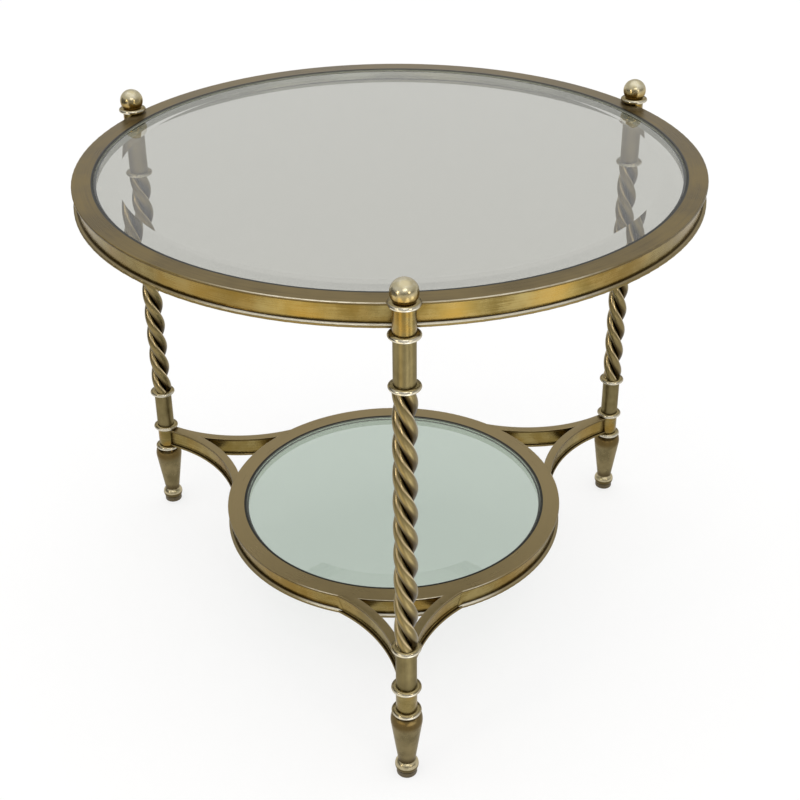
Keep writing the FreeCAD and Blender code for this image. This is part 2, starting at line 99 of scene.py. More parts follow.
class FinishSheet:
    # one material's nodes, with short ways to add and join them
    coatRoughness = 0.12
    noiseRange = (0.3, 0.7)  # where most of a noise lies
    tierSplit = (0.2, 0.4)  # heights between the shelf and the top
    wornSheenTurn = (0.42, 0.66)  # radians round from a leg where the painted highlight and wear end

    def __init__(self, name, metallic, lacquer=0.0, **sockets):
        self.material = bpy.data.materials.new(name)
        self.material.use_nodes = True
        self.tree = self.material.node_tree
        self.shader = self.tree.nodes["Principled BSDF"]
        self.shader.inputs["Metallic"].default_value = metallic
        self.shader.inputs["Coat Weight"].default_value = lacquer
        self.shader.inputs["Coat Roughness"].default_value = self.coatRoughness
        for socket, entry in sockets.items():
            self.shader.inputs[socket].default_value = entry
        self.coords = self.tree.nodes.new("ShaderNodeTexCoord")
        self.point = self.coords.outputs["Object"]
        self.normal = self.coords.outputs["Normal"]

    def add(self, kind, inputs, **settings):
        node = self.tree.nodes.new(kind)
        for key, setting in settings.items():
            setattr(node, key, setting)
        for key, entry in inputs.items():
            if isinstance(entry, bpy.types.NodeSocket):
                self.tree.links.new(entry, node.inputs[key])
            else:
                node.inputs[key].default_value = entry
        return node

    def calc(self, operation, first, second=0.0, third=0.0):
        return self.add("ShaderNodeMath", {0: first, 1: second, 2: third}, operation=operation).outputs[0]

    def length(self, x, y):
        return self.calc("SQRT", self.calc("MULTIPLY_ADD", x, x, self.calc("MULTIPLY", y, y)))

    def blend(self, first, second, share):
        # weighted sum, share of the first and the rest of the second
        return self.calc("MULTIPLY_ADD", first, share, self.calc("MULTIPLY", second, 1 - share))

    def split(self, vector):
        return self.add("ShaderNodeSeparateXYZ", {0: vector}).outputs

    def join(self, x, y, z):
        return self.add("ShaderNodeCombineXYZ", {0: x, 1: y, 2: z}).outputs[0]

    def stretched(self, parts, scales):
        # coordinates for a noise that is drawn out into lines
        return self.join(*(self.calc("MULTIPLY", part, scale) for part, scale in zip(parts, scales)))

    def fade(self, entry, low, high, atLow=0.0, atHigh=1.0):
        # smooth step from atLow to atHigh
        ends = {"Value": entry, "From Min": low, "From Max": high, "To Min": atLow, "To Max": atHigh}
        return self.add("ShaderNodeMapRange", ends, interpolation_type="SMOOTHSTEP").outputs["Result"]

    def spread(self, noise, ends):
        return self.fade(noise, *self.noiseRange, *ends)

    def noise(self, vector, scale, detail=4.0, roughness=0.55):
        entries = {"Vector": vector, "Scale": scale, "Detail": detail, "Roughness": roughness}
        return self.add("ShaderNodeTexNoise", entries).outputs["Fac"]

    def mix(self, share, *ends):
        # each end is a socket or a colour of 0 to 255
        first, second = (end if isinstance(end, bpy.types.NodeSocket) else toLinear(end) for end in ends)
        return self.add("ShaderNodeMix", {0: share, 6: first, 7: second}, data_type="RGBA").outputs[2]

    def polar(self):
        # distance from the table's axis, the point's direction from it, which has no seam, and height
        x, y, z = self.split(self.point)
        radius = self.length(x, y)
        return radius, self.calc("DIVIDE", x, radius), self.calc("DIVIDE", y, radius), z

    def onLeg(self):
        # distance from the nearest leg's axis, direction round it, and height: the plan is folded into one
        # third of a turn about the front leg
        x, y, z = self.split(self.point)
        radius = self.length(x, y)
        bearing = self.calc("ARCTAN2", y, x)
        turn = self.calc("WRAP", self.calc("ADD", bearing, np.pi / 2), np.pi / 3, -np.pi / 3)
        self.legTurn = self.calc("ABSOLUTE", turn)
        self.legBearing = self.calc("SUBTRACT", bearing, turn)
        out = self.calc("SUBTRACT", self.calc("MULTIPLY", radius, self.calc("COSINE", turn)), legCircle)
        across = self.calc("MULTIPLY", radius, self.calc("SINE", turn))
        distance = self.length(out, across)
        return distance, self.calc("DIVIDE", out, distance), self.calc("DIVIDE", across, distance), z

    def wornSheenNearLegs(self, least):
        # share of painted highlight and wear round a ring: full beside the legs, least midway between them
        self.onLeg()
        return self.fade(self.legTurn, *self.wornSheenTurn, 1.0, least)

    def fromLeg(self, out, across):
        # unit vector away from the leg's own axis, turned back from the folded plan
        c, s = self.calc("COSINE", self.legBearing), self.calc("SINE", self.legBearing)
        x = self.calc("SUBTRACT", self.calc("MULTIPLY", out, c), self.calc("MULTIPLY", across, s))
        y = self.calc("MULTIPLY_ADD", out, s, self.calc("MULTIPLY", across, c))
        return self.join(x, y, 0.0)

    def leaned(self, direction, amount):
        # surface normal leaned towards a direction
        push = self.add("ShaderNodeVectorMath", {0: direction, 3: amount}, operation="SCALE").outputs[0]
        total = self.add("ShaderNodeVectorMath", {0: self.normal, 1: push}, operation="ADD").outputs[0]
        return self.add("ShaderNodeVectorMath", {0: total}, operation="NORMALIZE").outputs[0]

    def inSection(self, z):
        # height above the ring's underside, the same on both tiers
        return self.calc("WRAP", self.calc("SUBTRACT", z, shelfBase), tierGap, 0.0)

    def byTier(self, z, atShelf, atTop):
        return self.fade(z, *self.tierSplit, atShelf, atTop)

    def bump(self, height, strength, depth, normal=None):
        entries = {"Strength": strength, "Distance": depth, "Height": height}
        if normal is not None:
            entries["Normal"] = normal
        bump = self.add("ShaderNodeBump", entries)
        self.tree.links.new(bump.outputs[0], self.shader.inputs["Normal"])

    def tangentRound(self):
        tangent = self.add("ShaderNodeTangent", {}, direction_type="RADIAL", axis="Z")
        self.tree.links.new(tangent.outputs[0], self.shader.inputs["Tangent"])

    def colour(self, socket):
        self.tree.links.new(socket, self.shader.inputs["Base Color"])

    def roughness(self, socket):
        self.tree.links.new(socket, self.shader.inputs["Roughness"])


# In the settings below a noise is (scale, detail, roughness), a bump is (strength, depth), and a fade is
# (from, to) or (from, to, share at from, share at to). Colours are 0 to 255 and lengths in metres.

# round metal seen edge on reflects less than bare polish would
edgeTint = {"Specular Tint": (0.80, 0.76, 0.68, 1.0)}


# brown antique plate, brushed round the ring, painted highlight and wear on its rounded outer edge, a
# painted shadow line beside the pane
plateLook = {
    "dark": (98, 83, 46),
    "light": (121, 104, 62),
    "shelf": (144, 128, 92),
    "shelfLiftShare": 0.7,
    "wornSheen": (214, 206, 186),
    "side": (98, 82, 46),
    "paneGapShade": (46, 47, 43),
    "lines": (900.0, 5.0, 5.0),
    "stripLines": (90.0, 2.0, 0.0),
    "lineNoise": (1.0, 3.0, 0.6),
    "cloudNoise": (16.0, 3.0),
    "lineShare": 0.45,
    "contrast": (0.36, 0.64),
    "paneGapEdge": (0.0032, 0.0036, 1.0, 0.0),
    "sideTurn": (0.2, 0.6, 1.0, 0.0),
    "sideWornSheen": (0.0252, 0.0259),
    "roundEdge": (0.90, 0.985, 1.0, 0.0),
    "outerEdge": (0.008, 0.012),
    "midway": 0.04,
    "patchNoise": (9.0, 2.0),
    "patchContrast": (0.35, 0.6),
    "leastPatch": 0.35,
    "anisotropic": 0.5,
    "roughness": (0.26, 0.38),
    "bump": (0.12, 0.0002),
}


def brushedPlate(name, onArm, sheenAndWear):
    # brushed round the table's axis, or along the arm by its UV
    look = plateLook
    sheet = FinishSheet(name, 1.0, Anisotropic=look["anisotropic"])
    if onArm:
        z = sheet.split(sheet.point)[2]
        along, across, _ = sheet.split(sheet.coords.outputs["UV"])
        brush = sheet.stretched((across, along, 0.0), look["stripLines"])
    else:
        radius, east, north, z = sheet.polar()
        brush = sheet.stretched((radius, east, north), look["lines"])
        sheet.tangentRound()
    lines = sheet.noise(brush, *look["lineNoise"])
    clouds = sheet.noise(sheet.point, *look["cloudNoise"])
    shade = sheet.blend(lines, clouds, look["lineShare"])
    base = sheet.mix(sheet.fade(shade, *look["contrast"]), look["dark"], look["light"])
    # painted light: the shelf tier is lifted lighter than the top
    base = sheet.mix(sheet.byTier(z, look["shelfLiftShare"], 0.0), base, look["shelf"])
    upward = sheet.split(sheet.normal)[2]
    # painted highlight and wear on the rounded outer edge, full beside the legs
    edge = sheet.calc("MULTIPLY", sheet.fade(sheet.inSection(z), *look["sideWornSheen"]),
                      sheet.fade(upward, *look["roundEdge"]))
    if not onArm:
        inside = sheet.calc("SUBTRACT", radius, sheet.byTier(z, paneRadii["shelf"], paneRadii["top"]))
        # painted shadow: a dark line on the plate's inner edge beside the pane's gap
        base = sheet.mix(sheet.fade(inside, *look["paneGapEdge"]), base, look["paneGapShade"])
        edge = sheet.calc("MULTIPLY", edge, sheet.fade(inside, *look["outerEdge"]))
        edge = sheet.calc("MULTIPLY", edge, sheet.wornSheenNearLegs(look["midway"]))
    base = sheet.mix(sheet.fade(upward, *look["sideTurn"]), base, look["side"])
    patches = sheet.noise(sheet.point, *look["patchNoise"])
    wornAndLit = sheet.fade(patches, *look["patchContrast"], look["leastPatch"] * sheenAndWear, sheenAndWear)
    sheet.colour(sheet.mix(sheet.calc("MULTIPLY", edge, wornAndLit), base, look["wornSheen"]))
    sheet.roughness(sheet.spread(shade, look["roughness"]))
    sheet.bump(lines, *look["bump"])
    return sheet.material


# gold side band and web: brushed, with amber patches; tarnish and painted shade in the corners under the
# plate and over the lip, and painted shade beside the legs
bandLook = {
    "dark": (122, 104, 55),
    "light": (156, 140, 91),
    "amber": (146, 111, 40),
    "tarnishAndShade": (64, 48, 20),
    "lines": (1400.0, 9.0, 9.0),
    "lineNoise": (1.0, 3.0, 0.6),
    "cloudNoise": (34.0, 4.0),
    "lineShare": 0.35,
    "contrast": (0.36, 0.66),
    "warmNoise": (12.0, 2.0),
    "warmth": (0.42, 0.64, 0.0, 0.45),
    "drop": 0.0,
    "lowCorner": (0.0034, 0.0041, 0.7, 0.0),
    "highCorner": (0.0228, 0.0236, 0.0, 0.4),
    "besideLeg": (0.0117, 0.0190, 0.85, 0.0),
    "shadeTarnishPatch": (0.25, 0.6, 0.6, 1.0),
    "anisotropic": 0.3,
    "roughness": (0.2, 0.34),
    "bump": (0.08, 0.0002),
}

# gold block of a leg: the same finish, duller, and dark only next to its collars, tarnish and painted shade
blockLook = {
    **bandLook,
    "dark": (112, 97, 54),
    "light": (148, 132, 86),
    "warmNoise": (55.0, 2.0),
    "warmth": (0.42, 0.64, 0.0, 0.5),
    "drop": 0.0008,
    "lowCorner": (0.0, 0.0016, 0.5, 0.0),
    "highCorner": (0.0268, 0.0284, 0.0, 0.5),
}


def goldBand(name, look, onRing):
    sheet = FinishSheet(name, 1.0, Anisotropic=look["anisotropic"])
    _, east, north, z = sheet.polar()
    lines = sheet.noise(sheet.stretched((z, east, north), look["lines"]), *look["lineNoise"])
    clouds = sheet.noise(sheet.point, *look["cloudNoise"])
    shade = sheet.blend(lines, clouds, look["lineShare"])
    base = sheet.mix(sheet.fade(shade, *look["contrast"]), look["dark"], look["light"])
    warm = sheet.noise(sheet.point, *look["warmNoise"])
    base = sheet.mix(sheet.fade(warm, *look["warmth"]), base, look["amber"])
    height = sheet.inSection(sheet.calc("ADD", z, look["drop"]))
    shadeAndTarnish = sheet.calc("MAXIMUM", sheet.fade(height, *look["lowCorner"]),
                      sheet.fade(height, *look["highCorner"]))
    if onRing:
        # painted shade beside the legs
        shadeAndTarnish = sheet.calc("MAXIMUM", shadeAndTarnish, sheet.fade(sheet.onLeg()[0], *look["besideLeg"]))
    shadeAndTarnish = sheet.calc("MULTIPLY", shadeAndTarnish, sheet.fade(clouds, *look["shadeTarnishPatch"]))
    sheet.colour(sheet.mix(shadeAndTarnish, base, look["tarnishAndShade"]))
    sheet.roughness(sheet.spread(shade, look["roughness"]))
    sheet.bump(lines, *look["bump"])
    return sheet.material


# lip of a ring: painted highlight and wear, pale beside the legs, brown low down and midway between them;
# painted shade in the corner over the lip
lipLook = {
    "wornSheen": (208, 202, 184),
    "bare": (122, 106, 66),
    "ledge": (52, 40, 18),
    "inner": (152, 153, 141),
    "patchNoise": (60.0, 4.0, 0.6),
    "sheenAndWear": 0.95,
    "patchContrast": (0.25, 0.5),
    "leastPatch": 0.6,
    "midway": 0.15,
    "sideBrown": (0.0025, 0.0032, 1.0, 0.0),
    "corner": (0.0010, 0.0018, 0.9, 0.0),
    "innerFace": (-0.7, -0.3, 1.0, 0.0),
    "lean": 0.7,
    "roughness": (0.36, 0.44),
    "bump": (0.01, 0.0004),
}

# lower strip of an arm: hardly any painted highlight or wear, painted shade on top
armLipLook = {
    **lipLook,
    "sheenAndWear": 0.08,
    "upperFace": (0.5, 0.9, 0.0, 0.9),
    "roughness": (0.2, 0.32),
    "bump": (0.08, 0.0004),
}


def wornSheenLip(name, look, onRing):
    # on a ring, leaned normals make the flat faces shade as half round
    sheet = FinishSheet(name, 1.0, **edgeTint)
    x, y, upward = sheet.split(sheet.normal)
    radius, east, north, z = sheet.polar()
    patches = sheet.noise(sheet.point, *look["patchNoise"])
    wornAndLit = sheet.fade(patches, *look["patchContrast"], look["leastPatch"] * look["sheenAndWear"], look["sheenAndWear"])
    if onRing:
        wornAndLit = sheet.calc("MULTIPLY", wornAndLit, sheet.wornSheenNearLegs(look["midway"]))
    # painted highlight and wear, pale beside the legs
    rim = sheet.mix(wornAndLit, look["bare"], look["wornSheen"])
    rim = sheet.mix(sheet.fade(sheet.inSection(z), *look["sideBrown"]), rim, look["bare"])
    normal = None
    if onRing:
        bandRadius = sheet.byTier(z, shelfRadius - bandRecess, topHigh.x - bandRecess)
        past = sheet.calc("SUBTRACT", radius, bandRadius)
        # painted shade in the corner between the band and the lip
        rim = sheet.mix(sheet.fade(past, *look["corner"]), rim, look["ledge"])
        outward = sheet.calc("MULTIPLY_ADD", x, east, sheet.calc("MULTIPLY", y, north))
        rim = sheet.mix(sheet.fade(outward, *look["innerFace"]), rim, look["inner"])
        lean = sheet.calc("MULTIPLY", sheet.calc("ABSOLUTE", upward), look["lean"])
        normal = sheet.leaned(sheet.join(east, north, 0.0), lean)
    else:
        # painted shade on the strip's upper face
        rim = sheet.mix(sheet.fade(upward, *look["upperFace"]), rim, look["ledge"])
    sheet.colour(rim)
    sheet.roughness(sheet.spread(patches, look["roughness"]))
    sheet.bump(patches, *look["bump"], normal)
    return sheet.material


# collars of the legs: painted highlight and wear on the edges, most on the front, flat faces left brown,
# tarnish and painted shade in the crease by the tube
collarLook = {
    "wornSheen": (208, 202, 184),
    "gold": (126, 111, 72),
    "face": (148, 134, 96),
    "tarnishAndShade": (92, 75, 42),
    "patchNoise": (60.0, 4.0, 0.6),
    "patchShare": 0.5,
    "frontShare": -0.45,
    "wornSheenFrom": (0.2, 0.62, 0.0, 0.9),
    "crease": (0.0114, 0.0119, 0.3, 0.0),
    "flatLevel": (0.93, 0.99),
    "flatEnd": (0.0132, 0.0146, 1.0, 0.0),
    "lean": (0.0110, 0.0150, 0.2, 0.9),
    "roughness": (0.2, 0.32),
    "bump": (0.08, 0.0004),
}


def wornSheenCollar(name):
    # leaned normals make the flat faces shade as half round
    look = collarLook
    sheet = FinishSheet(name, 1.0, **edgeTint)
    _, y, upward = sheet.split(sheet.normal)
    level = sheet.calc("ABSOLUTE", upward)
    distance, out, across, _ = sheet.onLeg()
    patches = sheet.noise(sheet.point, *look["patchNoise"])
    # painted highlight: faces turned to -y, the front, are paler
    front = sheet.calc("MULTIPLY", y, look["frontShare"])
    frontWornSheen = sheet.calc("MULTIPLY_ADD", patches, look["patchShare"], front)
    rim = sheet.mix(sheet.fade(frontWornSheen, *look["wornSheenFrom"]), look["gold"], look["wornSheen"])
    face = sheet.mix(sheet.fade(distance, *look["crease"]), look["face"], look["tarnishAndShade"])
    flat = sheet.calc("MULTIPLY", sheet.fade(level, *look["flatLevel"]),
                      sheet.fade(distance, *look["flatEnd"]))
    sheet.colour(sheet.mix(flat, rim, face))
    sheet.roughness(sheet.spread(patches, look["roughness"]))
    lean = sheet.calc("MULTIPLY", sheet.fade(distance, *look["lean"]), level)
    sheet.bump(patches, *look["bump"], sheet.leaned(sheet.fromLeg(out, across), lean))
    return sheet.material


# plain tubes of the legs: olive brown, drawn lengthwise, darker next to the collars
tubeLook = {
    "dark": (104, 93, 62),
    "light": (125, 113, 78),
    "tarnishAndShade": (80, 68, 40),
    "lines": (5.0, 5.0, 30.0),
    "lineNoise": (1.0, 2.0, 0.5),
    "cloudNoise": (70.0, 3.0),
    "lineShare": 0.2,
    "contrast": (0.28, 0.72),
    "endWidth": 0.0025,
    "endShare": 0.3,
    "roughness": (0.32, 0.38),
    "bump": (0.02, 0.0004),
}


def legTube(name):
    look = tubeLook
    sheet = FinishSheet(name, 1.0, **edgeTint)
    _, out, across, z = sheet.onLeg()
    lines = sheet.noise(sheet.stretched((out, across, z), look["lines"]), *look["lineNoise"])
    clouds = sheet.noise(sheet.point, *look["cloudNoise"])
    shade = sheet.blend(lines, clouds, look["lineShare"])
    base = sheet.mix(sheet.fade(shade, *look["contrast"]), look["dark"], look["light"])
    ends = None
    for tube in ("front_neck_tube", "front_lower_tube"):
        low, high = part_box(tube)
        middle, half = (low.z + high.z) / 2, (high.z - low.z) / 2
        away = sheet.calc("ABSOLUTE", sheet.calc("SUBTRACT", z, middle))
        ends = away if ends is None else sheet.calc("MINIMUM", ends, away)
    # darker next to the collars: tarnish and painted shade
    dullShade = sheet.fade(ends, half - look["endWidth"], half, 0.0, look["endShare"])
    sheet.colour(sheet.mix(dullShade, base, look["tarnishAndShade"]))
    sheet.roughness(sheet.spread(shade, look["roughness"]))
    sheet.bump(clouds, *look["bump"])
    return sheet.material


# rope twist: olive brown bars, painted highlight and wear along the upper flank, painted shade on the lower
# one, darker in the grooves
ropeLook = {
    "crest": (124, 110, 74),
    "wornSheen": (202, 182, 140),
    "dullShade": (72, 60, 36),
    "groove": (54, 44, 25),
    "depths": (0.0056, 0.0078, 1.0, 0.0),
    "bars": 3,
    "lead": 0.0968,
    "crestPhase": -2.2552,
    "wornSheenMiddle": 0.31,
    "wornSheenWidth": (0.02, 0.06, 1.0, 0.0),
    "dullShadeFrom": (-0.08, -0.30),
    "patchNoise": (70.0, 3.0),
    "roughness": (0.28, 0.34),
    "bump": (0.02, 0.0004),
}


def ropeTwist(name):
    # a point's place across its bar, -0.5 to 0.5: bars * (angle + 2 pi z / lead) less the crest's own value
    look = ropeLook
    sheet = FinishSheet(name, 1.0)
    distance, out, across, z = sheet.onLeg()
    patches = sheet.noise(sheet.point, *look["patchNoise"])
    turn = sheet.calc("MULTIPLY_ADD", z, 2 * np.pi / look["lead"], sheet.calc("ARCTAN2", across, out))
    turn = sheet.calc("MULTIPLY_ADD", turn, look["bars"] / (2 * np.pi), -look["crestPhase"] / (2 * np.pi))
    place = sheet.calc("WRAP", turn, 0.5, -0.5)
    # painted shade on the lower flank
    body = sheet.mix(sheet.fade(place, *look["dullShadeFrom"]), look["crest"], look["dullShade"])
    # painted highlight and wear along the upper flank
    away = sheet.calc("ABSOLUTE", sheet.calc("SUBTRACT", place, look["wornSheenMiddle"]))
    body = sheet.mix(sheet.fade(away, *look["wornSheenWidth"]), body, look["wornSheen"])
    sheet.colour(sheet.mix(sheet.fade(distance, *look["depths"]), body, look["groove"]))
    sheet.roughness(sheet.spread(patches, look["roughness"]))
    sheet.bump(patches, *look["bump"])
    return sheet.material


# ball finial: satin polish, a painted highlight pale on top, warm gold below and painted shade dull at its
# seat
ballLook = {
    "litTop": (194, 187, 164),
    "litTopDeep": (176, 166, 134),
    "gold": (186, 162, 100),
    "goldDeep": (160, 134, 72),
    "tarnishAndShade": (112, 86, 36),
    "cloudNoise": (110.0, 4.0),
    "contrast": (0.35, 0.65),
    "underTop": (0.020, 0.004),
    "overSeat": (0.001, 0.012),
    "seatShare": 0.9,
    "lacquer": 0.1,
    "roughness": (0.22, 0.28),
    "bump": (0.03, 0.0004),
}


def polishedBall(name):
    look = ballLook
    sheet = FinishSheet(name, 1.0, look["lacquer"], **edgeTint)
    z = sheet.split(sheet.point)[2]
    clouds = sheet.noise(sheet.point, *look["cloudNoise"])
    patchy = sheet.fade(clouds, *look["contrast"])
    # painted highlight: the top of the ball is paler
    litTop = sheet.mix(patchy, look["litTopDeep"], look["litTop"])
    gold = sheet.mix(patchy, look["goldDeep"], look["gold"])
    onTop = sheet.fade(z, *(ballHigh.z - depth for depth in look["underTop"]))
    # painted shade at the seat
    seat = sheet.fade(z, *(ballLow.z + height for height in look["overSeat"]), look["seatShare"], 0.0)
    sheet.colour(sheet.mix(seat, sheet.mix(onTop, gold, litTop), look["tarnishAndShade"]))
    sheet.roughness(sheet.spread(clouds, look["roughness"]))
    sheet.bump(clouds, *look["bump"])
    return sheet.material


# turned foot: brown taper, amber glossy shoulder, the bead worn in patches with painted highlights, tarnish
# and painted shade above the bead, dark on its lower part
footLook = {
    "dark": (104, 93, 63),
    "light": (130, 117, 83),
    "shoulder": (92, 74, 38),
    "wornSheen": (184, 172, 140),
    "under": (88, 75, 44),
    "tarnishAndShade": (60, 46, 22),
    "cloudNoise": (60.0, 3.0),
    "contrast": (0.28, 0.72),
    "shoulderEnds": (0.020, 0.010),
    "shoulderPatch": (0.25, 0.55, 0.55, 0.95),
    "beadTop": (0.0125, 0.0142, 1.0, 0.0),
    "spotNoise": (150.0, 2.0),
    "spots": (0.22, 0.52, 0.35, 1.0),
    "underEnds": (0.0060, 0.0074, 1.0, 0.0),
    "neckStart": (0.0128, 0.0142),
    "neckDark": (0.0160, 0.0250, 0.7, 0.0),
    "topWidth": 0.0025,
    "topShare": 0.8,
    "lacquer": 0.1,
    "roughness": (0.24, 0.34),
    "glossy": 0.18,
    "bump": (0.04, 0.0004),
}


def turnedFoot(name):
    look = footLook
    sheet = FinishSheet(name, 1.0, look["lacquer"], **edgeTint)
    clouds = sheet.noise(sheet.point, *look["cloudNoise"])
    base = sheet.mix(sheet.fade(clouds, *look["contrast"]), look["dark"], look["light"])
    height = sheet.calc("SUBTRACT", sheet.split(sheet.point)[2], footLow.z)
    full = footHigh.z - footLow.z
    shoulder = sheet.fade(height, *(full - depth for depth in look["shoulderEnds"]))
    shoulder = sheet.calc("MULTIPLY", shoulder, sheet.fade(clouds, *look["shoulderPatch"]))
    base = sheet.mix(shoulder, base, look["shoulder"])
    # painted highlights with wear in patches on the bead
    spots = sheet.fade(sheet.noise(sheet.point, *look["spotNoise"]), *look["spots"])
    spots = sheet.calc("MULTIPLY", sheet.fade(height, *look["beadTop"]), spots)
    wornAndLit = sheet.mix(spots, base, look["wornSheen"])
    wornAndLit = sheet.mix(sheet.fade(height, *look["underEnds"]), wornAndLit, look["under"])
    neck = sheet.calc("MULTIPLY", sheet.fade(height, *look["neckStart"]),
                      sheet.fade(height, *look["neckDark"]))
    top = sheet.fade(height, full - look["topWidth"], full, 0.0, look["topShare"])
    sheet.colour(sheet.mix(sheet.calc("MAXIMUM", top, neck), wornAndLit, look["tarnishAndShade"]))
    rough = sheet.spread(clouds, look["roughness"])
    gap = sheet.calc("SUBTRACT", look["glossy"], rough)
    sheet.roughness(sheet.calc("MULTIPLY_ADD", shoulder, gap, rough))
    sheet.bump(clouds, *look["bump"])
    return sheet.material


# inner wall and ledge under the panes: pale plated metal, with runs of old polish; painted light makes the
# shelf tier's far paler than the top's
innerLook = {
    "dark": (128, 130, 114),
    "light": (141, 142, 127),
    "shelf": (224, 229, 218),
    "shelfLiftShare": 0.9,
    "lines": (300.0, 14.0, 14.0),
    "lineNoise": (1.0, 4.0),
    "contrast": (0.35, 0.65),
    "roughness": (0.2, 0.3),
    "bump": (0.03, 0.0003),
}


def innerWall(name):
    look = innerLook
    sheet = FinishSheet(name, 1.0)
    _, east, north, z = sheet.polar()
    runs = sheet.noise(sheet.stretched((z, east, north), look["lines"]), *look["lineNoise"])
    base = sheet.mix(sheet.fade(runs, *look["contrast"]), look["dark"], look["light"])
    # painted light: the shelf tier's wall is lifted far paler than the top's
    sheet.colour(sheet.mix(sheet.byTier(z, look["shelfLiftShare"], 0.0), base, look["shelf"]))
    sheet.roughness(sheet.spread(runs, look["roughness"]))
    sheet.bump(runs, *look["bump"])
    return sheet.material


# brown glides, and the hidden steel rods
glideLook = {
    "dark": (74, 62, 36),
    "light": (92, 79, 49),
    "metallic": 0.0,
    "grainNoise": (400.0, 4.0, 0.6),
    "contrast": (0.35, 0.65),
    "roughness": (0.4, 0.6),
    "bump": (0.15, 0.0004),
}
rodLook = {
    **glideLook,
    "dark": (128, 128, 126),
    "light": (166, 166, 164),
    "metallic": 1.0,
    "grainNoise": (300.0, 4.0, 0.6),
    "roughness": (0.3, 0.45),
}


def mottled(name, look):
    sheet = FinishSheet(name, look["metallic"])
    grain = sheet.noise(sheet.point, *look["grainNoise"])
    sheet.colour(sheet.mix(sheet.fade(grain, *look["contrast"]), look["dark"], look["light"]))
    sheet.roughness(sheet.spread(grain, look["roughness"]))
    sheet.bump(grain, *look["bump"])
    return sheet.material


# pane strip: grey green vinyl, painted paler against the shade in its gap, and painted black where it shows
# over the pane: a painted shadow line round the pane
stripLook = {
    "dark": (182, 187, 176),
    "light": (198, 203, 191),
    "shelf": (200, 206, 195),
    "shelfLiftShare": 0.9,
    "top": (40, 39, 33),
    "gapShadowHeights": (0.0241, 0.0247),
    "upperFace": (0.3, 0.7, 0.7, 1.0),
    "grainNoise": (120.0, 4.0, 0.6),
    "contrast": (0.35, 0.65),
    "roughness": (0.4, 0.6),
    "bump": (0.15, 0.0004),
}


def paneStrip(name):
    look = stripLook
    sheet = FinishSheet(name, 0.0)
    grain = sheet.noise(sheet.point, *look["grainNoise"])
    base = sheet.mix(sheet.fade(grain, *look["contrast"]), look["dark"], look["light"])
    z = sheet.split(sheet.point)[2]
    # painted light: the shelf tier is lifted a little paler
    base = sheet.mix(sheet.byTier(z, look["shelfLiftShare"], 0.0), base, look["shelf"])
    upward = sheet.split(sheet.normal)[2]
    # painted shadow: black where the strip shows over the pane
    gapShadow = sheet.calc("MULTIPLY", sheet.fade(sheet.inSection(z), *look["gapShadowHeights"]),
                       sheet.fade(upward, *look["upperFace"]))
    sheet.colour(sheet.mix(gapShadow, base, look["top"]))
    sheet.roughness(sheet.spread(grain, look["roughness"]))
    sheet.bump(grain, *look["bump"])
    return sheet.material


# panes: clear bevelled glass, the shelf's a little greener, with pale ground edges
paneLook = {
    "top": (185, 185, 178),
    "shelf": (188, 200, 190),
    "ior": 1.5,
    "topEdge": (226, 228, 212),
    "shelfEdge": (236, 246, 237),
    "groundRoughness": 0.6,
    "edgeLevel": 0.3,
}


def paneGlass(name, tint):
    clear = {"Roughness": 0.0, "IOR": paneLook["ior"], "Transmission Weight": 1.0}
    return FinishSheet(name, 0.0, **clear, **{"Base Color": toLinear(tint)}).material


def groundEdge(name, tint):
    ground = {"Roughness": paneLook["groundRoughness"], "Base Color": toLinear(tint)}
    return FinishSheet(name, 0.0, **ground).material


def grindEdge(node, material):
    # upright faces of the pane are ground and not polished
    mesh = nodes[node].data
    normals = np.empty(len(mesh.polygons) * 3, np.float32)
    mesh.polygons.foreach_get("normal", normals)
    upright = np.abs(normals.reshape(-1, 3)[:, 2]) < paneLook["edgeLevel"]
    mesh.materials.append(material)
    slots = np.where(upright, len(mesh.materials) - 1, 0)
    mesh.polygons.foreach_set("material_index", slots.astype(np.int32))


def dress(node, material):
    slots = nodes[node].data.materials
    if len(slots) == 0:
        slots.append(material)
    for index in range(len(slots)):
        slots[index] = material


ringSheenAndWear, armSheenAndWear = 0.85, 0.12
plateFinish = brushedPlate("antiquePlate", False, ringSheenAndWear)
armStripFinish = brushedPlate("antiqueStrip", True, armSheenAndWear)
bandFinish = goldBand("goldBand", bandLook, True)
blockFinish = goldBand("goldBlock", blockLook, False)
lipFinish = wornSheenLip("wornSheenLip", lipLook, True)
armLipFinish = wornSheenLip("armLip", armLipLook, False)
collarFinish = wornSheenCollar("wornSheenCollar")
tubeFinish = legTube("oliveTube")
rodFinish = mottled("rodSteel", rodLook)
legFinish = {
    "ball_finial": polishedBall("polishedBall"),
    "top_block_collars": collarFinish,
    "top_block": blockFinish,
    "neck_tube": tubeFinish,
    "twist_head": collarFinish,
    "twist": ropeTwist("ropeTwist"),
    "twist_foot": collarFinish,
    "lower_tube": tubeFinish,
    "shelf_block_collars": collarFinish,
    "shelf_block": blockFinish,
    "foot": turnedFoot("turnedFoot"),
    "glide": mottled("brownGlide", glideLook),
    "upper_tie_rod": rodFinish,
    "lower_tie_rod": rodFinish,
}
ringFinish = {
    "plate": plateFinish,
    "outer_band": bandFinish,
    "lip": lipFinish,
    "inner_band": innerWall("innerWall"),
    "glass_strip": paneStrip("paneStrip"),
}
for side in legAngles:
    for piece, material in legFinish.items():
        dress(f"{side}_{piece}", material)
for tier in tiers:
    for piece, material in ringFinish.items():
        dress(f"{tier}_{piece}", material)
    dress(f"{tier}_glass", paneGlass(f"{tier}Glass", paneLook[tier]))
    grindEdge(f"{tier}_glass", groundEdge(f"{tier}GroundEdge", paneLook[f"{tier}Edge"]))
    nodes[f"{tier}_glass"].visible_shadow = False  # lamps shine through the pane
print("finishes on the solids")


